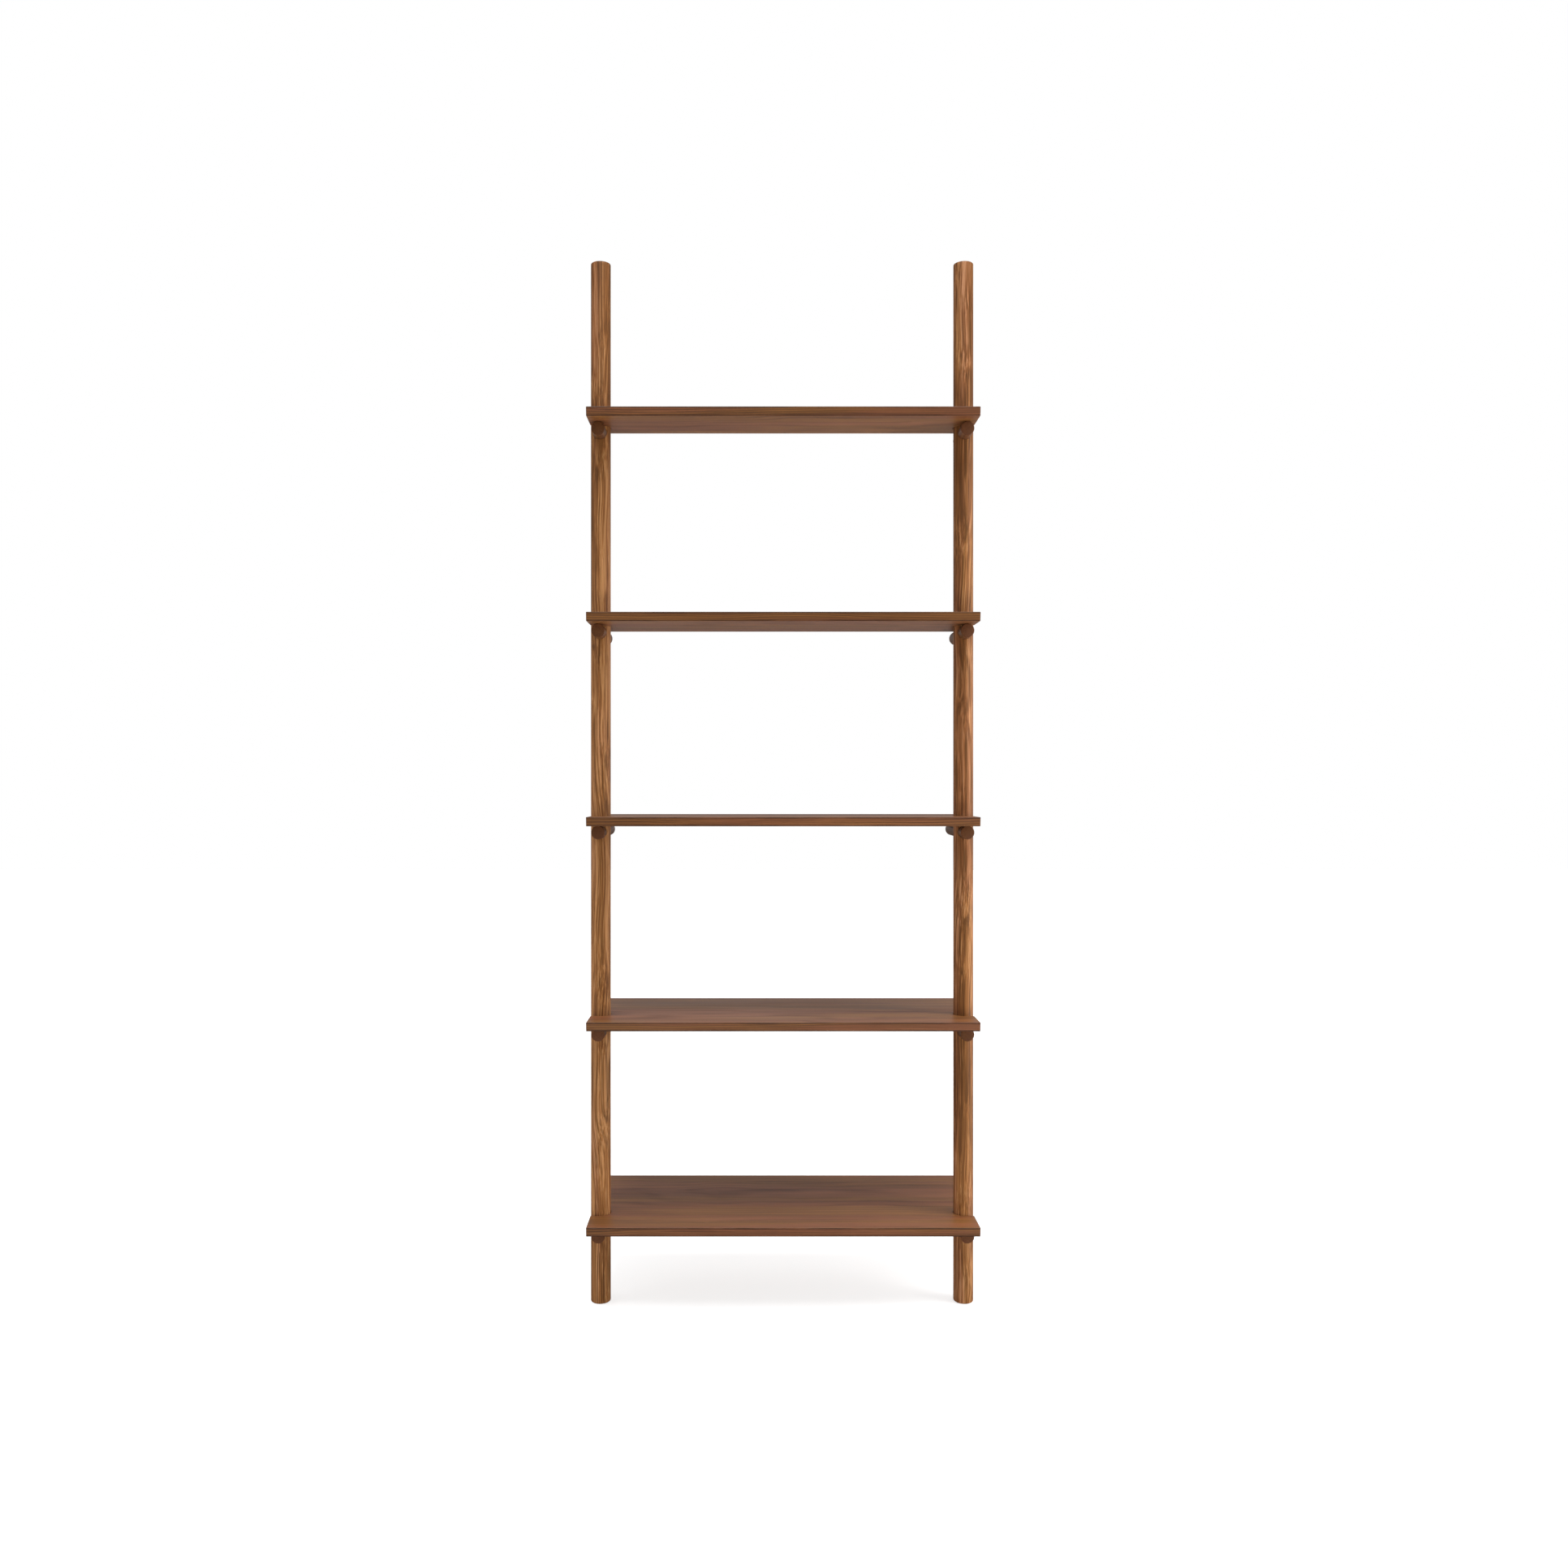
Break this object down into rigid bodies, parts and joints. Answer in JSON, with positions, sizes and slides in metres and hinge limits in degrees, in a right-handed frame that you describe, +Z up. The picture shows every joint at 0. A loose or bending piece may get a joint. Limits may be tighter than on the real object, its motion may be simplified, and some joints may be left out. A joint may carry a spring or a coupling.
{
  "type": "ladder shelf",
  "caption": "Leaning ladder shelf: round poles rest against a wall and carry level walnut boards on through pegs, each board deeper than the one above.",
  "frame": {"origin": "centre of the bounding box on the floor, between the two feet", "axes": "+Z up; +Y towards the wall the poles lean on, the boards' front edges face -Y; +X to the right of someone facing the shelf"},
  "size_m": [0.777, 0.3484, 2.09],
  "materials": {
    "pole_walnut": "stained walnut, satin lacquer",
    "shelf_walnut": "walnut board, satin lacquer",
    "peg_walnut": "dark stained walnut dowel, satin lacquer",
    "screw_steel": "plain zinc-coated steel"
  },
  "bodies": {
    "root": {"left_pole": "pole_walnut", "right_pole": "pole_walnut", "shelf_1": "shelf_walnut", "shelf_2": "shelf_walnut", "shelf_3": "shelf_walnut", "shelf_4": "shelf_walnut", "shelf_5": "shelf_walnut", "peg_1_left": "peg_walnut", "peg_1_right": "peg_walnut", "peg_2_left": "peg_walnut", "peg_2_right": "peg_walnut", "peg_3_left": "peg_walnut", "peg_3_right": "peg_walnut", "peg_4_left": "peg_walnut", "peg_4_right": "peg_walnut", "peg_5_left": "peg_walnut", "peg_5_right": "peg_walnut", "screw_1_left": "screw_steel", "screw_1_right": "screw_steel", "screw_2_left": "screw_steel", "screw_2_right": "screw_steel", "screw_3_left": "screw_steel", "screw_3_right": "screw_steel", "screw_4_left": "screw_steel", "screw_4_right": "screw_steel", "screw_5_left": "screw_steel", "screw_5_right": "screw_steel"}
  },
  "joints": []
}
